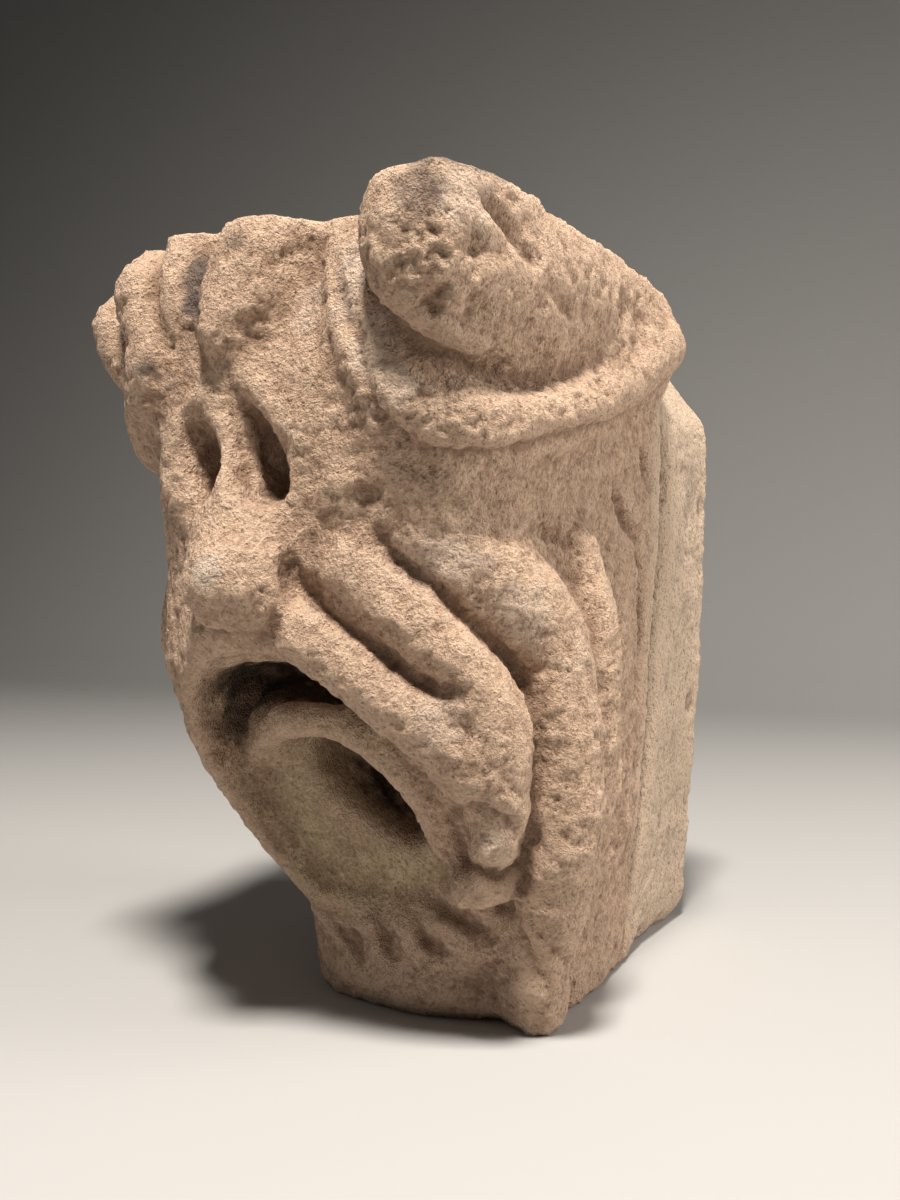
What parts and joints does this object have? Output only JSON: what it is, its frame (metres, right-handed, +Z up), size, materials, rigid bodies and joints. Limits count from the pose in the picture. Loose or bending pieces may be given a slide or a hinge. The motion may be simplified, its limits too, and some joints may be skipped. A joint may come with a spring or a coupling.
{
  "type": "stone corbel",
  "caption": "Carved sandstone corbel: a monster mask with corner curls and a gaping mouth, on a plain tail that is built into a wall and carries a load on its flat top bed.",
  "frame": {"origin": "middle of the tail's flat wall face", "axes": "+Y into the wall, -Y is the way the mask looks, +Z up, +X the side that the picture shows"},
  "size_m": [0.2222, 0.2924, 0.3],
  "materials": {
    "sandstone": "matte, coarse pinkish-buff sandstone, weathered"
  },
  "bodies": {
    "root": {"corbel_stone": "sandstone"}
  },
  "joints": []
}
